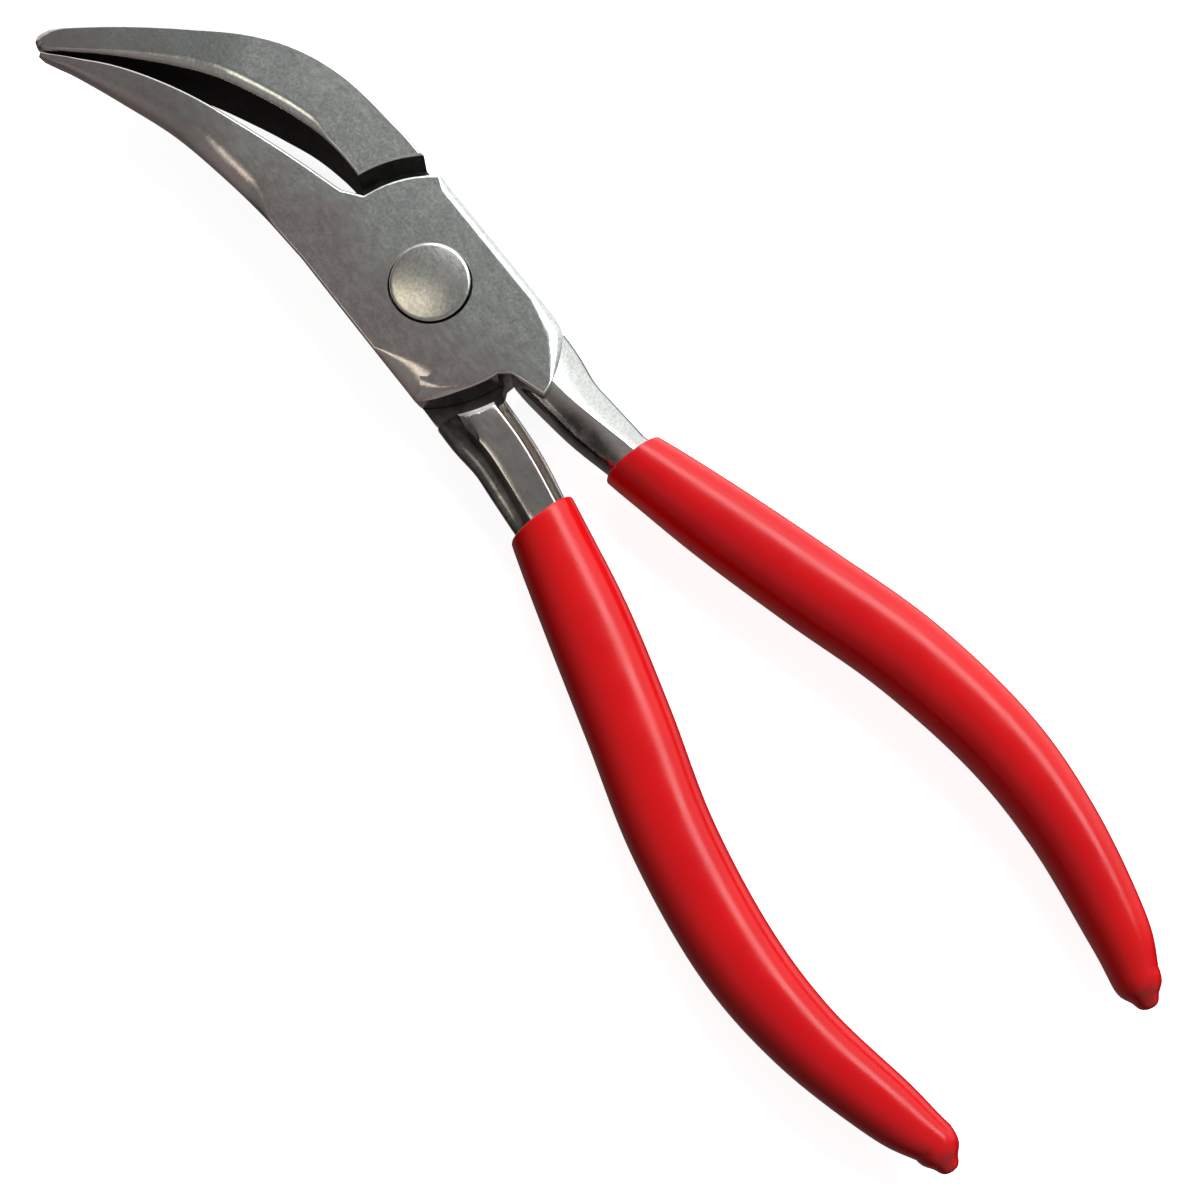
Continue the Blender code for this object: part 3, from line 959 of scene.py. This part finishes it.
def steel(name, base, brown, rough, offset, shade_patches=()):
    """Ground and polished forging steel: mottled grain, brown cast in patches that deepens into
    painted shade towards the tool's left, uneven gloss.

    Painted shade darkens it about each patch's place, within its sizes along its own axes.
    """
    made = Finish(name)
    made.shader.inputs["Metallic"].default_value = 1.0
    cloud = made.noise(0.010 + offset, detail=7.0, roughness=0.75)
    mottle = made.noise(0.0022, detail=5.0, roughness=0.7)
    grain = made.noise(0.00045, detail=3.0, roughness=0.7)
    streak = made.noise(0.0007, detail=2.0, roughness=0.5, stretch=(1.0, 3.0, 1.0))

    # The cloud's brown patches are the steel's own tone; the slope adds a painted brown shade
    # towards the tool's left.
    brown_patches_and_shade = made.calculate("ADD", cloud, made.slope(BROWN_SHADE_SIDE))
    tone = made.mix(made.spread(brown_patches_and_shade, 0.32, 0.82), base, brown)
    darker = tuple(GRAIN_SHADE * c for c in base)
    shade = made.mix(made.spread(mottle, 0.38, 0.72, to_high=0.45), tone, darker)
    colour = made.mix(made.spread(grain, 0.42, 0.62, to_high=0.75), shade, darker)
    # Each patch is painted shade: darkest at its place, fading within its sizes, in a patchy
    # mottle.
    for patch_of_shade in shade_patches:
        near = made.spread(made.far_from(*patch_of_shade), 0.5, 1.25, to_low=1.0, to_high=0.0)
        shade_mottle = made.noise(0.0016, detail=4.0, roughness=0.65)
        patchy = made.calculate("MULTIPLY", near, made.spread(shade_mottle, 0.3, 0.6, to_low=0.6))
        colour = made.mix(patchy, colour, PAINTED_SHADE_COLOUR)
    made.to("Base Color", colour)

    uneven = made.calculate("ADD", mottle, streak)
    made.to("Roughness", made.spread(uneven, 0.75, 1.25, rough - 0.015, rough + 0.025))
    waves = made.bump(made.noise(0.007, detail=2.0), depth=0.00010, strength=0.5)
    dents = made.bump(made.noise(0.0014, detail=3.0), 0.000020, 0.7, under=waves)
    made.to("Normal", made.bump(grain, 0.000010, 0.8, under=dents))
    return made.material


def shaded_cut_finish(name):
    """Painted shade for the turned cuts of the lap and recesses: nearly black, in cloudy patches.
    """
    made = Finish(name)
    made.shader.inputs["Metallic"].default_value = 0.8
    shade_mottle = made.noise(0.003, detail=4.0, roughness=0.6)
    lighter_cut_shade, deeper_cut_shade = (0.10, 0.10, 0.098), (0.045, 0.043, 0.04)
    made.to("Base Color", made.mix(made.spread(shade_mottle, 0.35, 0.7), lighter_cut_shade, deeper_cut_shade))
    made.to("Roughness", made.spread(shade_mottle, 0.3, 0.7, to_low=0.34, to_high=0.5))
    made.to("Normal", made.bump(made.noise(0.0005, detail=3.0), depth=0.00001, strength=0.6))
    return made.material


def gripping(name):
    """The jaws' gripping face, painted black as shade: dull and slightly rough."""
    made = Finish(name)
    made.shader.inputs["Metallic"].default_value = 0.3
    made.shader.inputs["Specular IOR Level"].default_value = 0.25
    scale = made.noise(0.0015, detail=4.0, roughness=0.65)
    black, lighter_wall_shade = (0.012, 0.012, 0.012), (0.03, 0.028, 0.026)
    made.to("Base Color", made.mix(made.spread(scale, 0.4, 0.7), black, lighter_wall_shade))
    made.to("Roughness", made.spread(scale, 0.3, 0.7, to_low=0.5, to_high=0.65))
    made.to("Normal", made.bump(scale, depth=0.00003, strength=0.5))
    return made.material


def vinyl(name):
    """Glossy dipped vinyl: deep red, slow ripples of the dip, faint haze."""
    made = Finish(name)
    made.shader.inputs["Specular IOR Level"].default_value = 0.4
    cloud = made.noise(0.02, detail=2.0)
    haze = made.noise(0.004, detail=4.0)
    bright, deep = (0.80, 0.006, 0.008), (0.73, 0.004, 0.009)
    made.to("Base Color", made.mix(made.spread(cloud, 0.35, 0.65), bright, deep))
    made.to("Roughness", made.spread(haze, 0.3, 0.7, to_low=0.20, to_high=0.27))
    ripple = made.bump(made.noise(0.012, detail=1.0), depth=0.00012, strength=0.5)
    pores = made.bump(made.noise(0.0008, detail=2.0), 0.000006, 0.6, under=ripple)
    made.to("Normal", pores)
    return made.material


# The studio

# The camera looks almost straight down, with the image's right and its own back along these
IMAGE_RIGHT = Vector((0.79122, -0.61153, 0.0))
IMAGE_BACK = Vector((-0.13236, -0.17125, 0.97630))
CAMERA_PLACE = Vector((-44.63, -96.20, 275.17))
CAMERA_LENS = 60.73
AIM = Vector((0.0, -0.03, 0.006))  # where the lights point, in metres
WHITE = (1.0, 1.0, 1.0)
# Each light of the sky: direction, angle where it starts, angle where it is full, colour
SKY = [
    ((0.05, 0.3, 1.0), 70.0, 25.0, (0.20, 0.205, 0.203)),
    ((0.85, 0.4, 0.1), 64.0, 30.0, (1.3, 1.3, 1.3)),
    ((0.2, 0.95, -0.15), 55.0, 15.0, (1.0, 1.0, 1.0)),
    ((-1.0, -0.2, 0.5), 62.0, 15.0, (0.21, 0.185, 0.175)),
    ((-0.4, 0.0, -0.9), 60.0, 20.0, (0.12, 0.105, 0.10)),
    ((0.1, -1.0, 0.35), 62.0, 20.0, (0.40, 0.39, 0.38)),
]
SKY_IN_SHADE = 0.45  # how much of the sky's reflected brightness lights matt surfaces
FLOOR_HALF_SIZE = 3.0
FLOOR_DROP = 0.0003  # keeps the floor just clear of the tool


def camera():
    """The camera at the photograph's angle."""
    data = bpy.data.cameras.new("camera")
    data.lens = CAMERA_LENS
    data.sensor_width = 36.0
    data.clip_start = 0.01
    made = bpy.data.objects.new("camera", data)
    back = IMAGE_BACK.normalized()
    right = IMAGE_RIGHT.normalized()
    up = back.cross(right).normalized()
    turn = Matrix((right, up, back)).transposed()
    made.matrix_world = Matrix.Translation(CAMERA_PLACE * MM) @ turn.to_4x4()
    bpy.context.scene.collection.objects.link(made)
    bpy.context.scene.camera = made


def softbox(name, direction, distance, wide, tall, radiance, colour):
    """An area light of a given brightness that faces the tool from a direction."""
    data = bpy.data.lights.new(name, "AREA")
    data.shape = "RECTANGLE"
    data.size = wide
    data.size_y = tall
    data.color = colour
    data.energy = radiance * math.pi * wide * tall
    made = bpy.data.objects.new(name, data)
    towards = Vector(direction).normalized()
    made.location = AIM + towards * distance
    made.rotation_euler = towards.to_track_quat("Z", "Y").to_euler()
    bpy.context.scene.collection.objects.link(made)
    return made


def world():
    """A pale backdrop for the camera, and a soft sky for the light."""
    made = bpy.data.worlds.new("studio")
    bpy.context.scene.world = made
    made.use_nodes = True
    nodes, links = made.node_tree.nodes, made.node_tree.links
    nodes.clear()
    place = nodes.new("ShaderNodeTexCoord")

    def lobe(direction, edge, core, colour):
        """Light round a direction, from nothing at one angle to full at another."""
        dot = nodes.new("ShaderNodeVectorMath")
        dot.operation = "DOT_PRODUCT"
        dot.inputs[1].default_value = Vector(direction).normalized()
        links.new(place.outputs["Generated"], dot.inputs[0])
        ramp = nodes.new("ShaderNodeMapRange")
        ramp.interpolation_type = "SMOOTHSTEP"
        ramp.inputs["From Min"].default_value = math.cos(math.radians(edge))
        ramp.inputs["From Max"].default_value = math.cos(math.radians(core))
        links.new(dot.outputs["Value"], ramp.inputs["Value"])
        scale = nodes.new("ShaderNodeVectorMath")
        scale.operation = "SCALE"
        scale.inputs[0].default_value = colour
        links.new(ramp.outputs["Result"], scale.inputs["Scale"])
        return scale.outputs["Vector"]

    total = None
    for light in SKY:
        made_lobe = lobe(*light)
        if total is None:
            total = made_lobe
            continue
        add = nodes.new("ShaderNodeVectorMath")
        add.operation = "ADD"
        links.new(total, add.inputs[0])
        links.new(made_lobe, add.inputs[1])
        total = add.outputs["Vector"]
    sky = nodes.new("ShaderNodeBackground")
    links.new(total, sky.inputs["Color"])
    path = nodes.new("ShaderNodeLightPath")
    strength = nodes.new("ShaderNodeMapRange")
    strength.inputs["To Min"].default_value = 1.0
    strength.inputs["To Max"].default_value = SKY_IN_SHADE
    links.new(path.outputs["Is Diffuse Ray"], strength.inputs["Value"])
    links.new(strength.outputs["Result"], sky.inputs["Strength"])
    backdrop = nodes.new("ShaderNodeBackground")
    backdrop.inputs["Color"].default_value = (*WHITE, 1.0)
    mix = nodes.new("ShaderNodeMixShader")
    links.new(path.outputs["Is Camera Ray"], mix.inputs["Fac"])
    links.new(sky.outputs["Background"], mix.inputs[1])
    links.new(backdrop.outputs["Background"], mix.inputs[2])
    out = nodes.new("ShaderNodeOutputWorld")
    links.new(mix.outputs["Shader"], out.inputs["Surface"])


def floor():
    """A pale sheet that the camera sees, without light of its own on the tool."""
    bm = bmesh.new()
    bmesh.ops.create_grid(bm, x_segments=2, y_segments=2, size=FLOOR_HALF_SIZE)
    mesh = bpy.data.meshes.new("floor")
    bm.to_mesh(mesh)
    bm.free()
    made = bpy.data.objects.new("floor", mesh)
    made.location.z = -FLOOR_DROP
    material = bpy.data.materials.new("pale_floor")
    material.use_nodes = True
    shader = material.node_tree.nodes["Principled BSDF"]
    shader.inputs["Base Color"].default_value = (0.9, 0.9, 0.9, 1.0)
    shader.inputs["Roughness"].default_value = 0.9
    shader.inputs["Specular IOR Level"].default_value = 0.0
    shader.inputs["Emission Color"].default_value = (*WHITE, 1.0)
    shader.inputs["Emission Strength"].default_value = 0.88
    mesh.materials.append(material)
    made.visible_diffuse = False
    made.visible_glossy = False
    bpy.context.scene.collection.objects.link(made)


def lights():
    """The key, the warm reflector and a matt wash. Returns the reflector."""
    softbox("key", (0.59, 0.17, 0.79), distance=0.9, wide=1.2, tall=0.27, radiance=5.4,
            colour=WHITE)
    warm = softbox("warm", (-0.20, 0.29, 0.936), distance=0.9, wide=0.2, tall=0.36,
                   radiance=1.75, colour=(1.0, 0.93, 0.76))
    wash = softbox("wash", (0.85, 0.30, 0.45), distance=1.2, wide=0.5, tall=0.5, radiance=8.0,
                   colour=WHITE)
    wash.visible_glossy = False
    return warm


# Painted shade on the bare handles, in the hollow at a handle's root and on faces that lie in
# shade: place, sizes along its own axes and turn of each patch
RIGHT_PAINTED_SHADE = (((0.0036, -0.0305, 0.0085), (0.0022, 0.0075, 0.006), 0.14),)
LEFT_PAINTED_SHADE = (
    ((-0.0098, -0.0190, 0.0095), (0.0032, 0.0066, 0.006), -0.25),
    ((-0.0108, -0.0285, 0.0075), (0.0018, 0.0125, 0.008), -0.126),
)


def main():
    """Builds the studio, the finishes and the five pieces."""
    camera()
    world()
    warm = lights()
    floor()
    bpy.context.scene.view_settings.view_transform = "Standard"

    front_steel = steel("front_forging_steel", base=(0.66, 0.69, 0.665),
                        brown=(0.49, 0.39, 0.385), rough=0.19, offset=0.0, shade_patches=RIGHT_PAINTED_SHADE)
    rear_steel = steel("rear_forging_steel", base=(0.66, 0.68, 0.66),
                       brown=(0.50, 0.43, 0.41), rough=0.19, offset=0.003, shade_patches=LEFT_PAINTED_SHADE)
    head_steel = steel("rivet_head_steel", base=(0.60, 0.60, 0.58),
                       brown=(0.56, 0.52, 0.46), rough=0.24, offset=0.001)
    cut = shaded_cut_finish("lap_cut_painted_shade")
    black = gripping("gripping_wall_painted_shade")
    red = vinyl("red_dip_vinyl")

    front = half(
        "front_forging", front_outline(), 1,
        shoulder=(HIDDEN_SHOULDER_RADIUS, MID + GAP / 2, LOW),
        recess=(HEAD_RECESS_RADIUS, HIGH - HEAD_RECESS_DEPTH, HIGH, HEAD_BREAK),
        handle=(RIGHT_TANG, RIGHT_GRIP),
    )
    settle(front, (front_steel, cut, black), "front_side", "front_half")
    rear = half(
        "rear_forging", rear_outline(), -1,
        shoulder=(SHOULDER_RADIUS, MID - GAP / 2, HIGH),
        recess=(TAIL_RECESS_RADIUS, TAIL_THICKNESS + GAP, LOW),
        handle=(LEFT_TANG, LEFT_GRIP),
    )
    settle(rear, (rear_steel, cut, black), "rear_side", "rear_half")
    head = made_object("joint_rivet", rivet())
    settle(head, (head_steel,), "front_side", "pivot_rivet")
    right = made_object("right_dipped_grip", grip_sleeve(1, RIGHT_GRIP, RIGHT_MOUTH, RIGHT_NIB))
    settle(right, (red,), "front_side", "right_grip")
    left = made_object("left_dipped_grip", grip_sleeve(-1, LEFT_GRIP, LEFT_MOUTH, LEFT_NIB))
    settle(left, (red,), "rear_side", "left_grip")

    # The warm reflector is a small card that only the bare metal catches.
    metal = bpy.data.collections.new("bare_metal")
    for piece in (front, rear, head):
        metal.objects.link(piece)
    warm.light_linking.receiver_collection = metal

    bpy.context.view_layer.update()


main()
